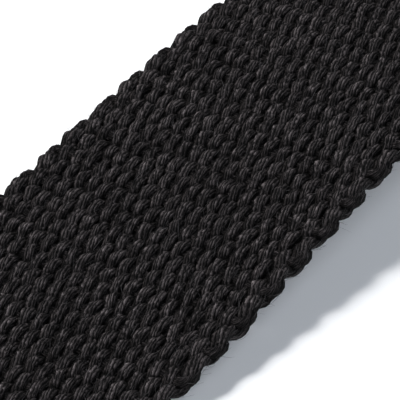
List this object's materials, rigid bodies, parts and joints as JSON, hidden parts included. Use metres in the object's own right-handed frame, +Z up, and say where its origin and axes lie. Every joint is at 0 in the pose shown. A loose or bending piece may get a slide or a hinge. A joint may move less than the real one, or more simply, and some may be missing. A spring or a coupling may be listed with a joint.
{
  "type": "length of webbing",
  "caption": "Cut length of black plain-woven cotton webbing with scalloped selvedges, lying in a low wave, for straps, belts, ties and trimmings.",
  "frame": {"origin": "centre of the piece's length and width, on the surface that it lies on", "axes": "+X along the webbing, +Y across it, +Z up from the surface"},
  "size_m": [0.2, 0.03, 0.0167],
  "materials": {
    "black_cotton": "matte, thick plied cotton yarn in a warp-faced weave"
  },
  "bodies": {
    "root": {"webbing": "black_cotton"}
  },
  "joints": []
}
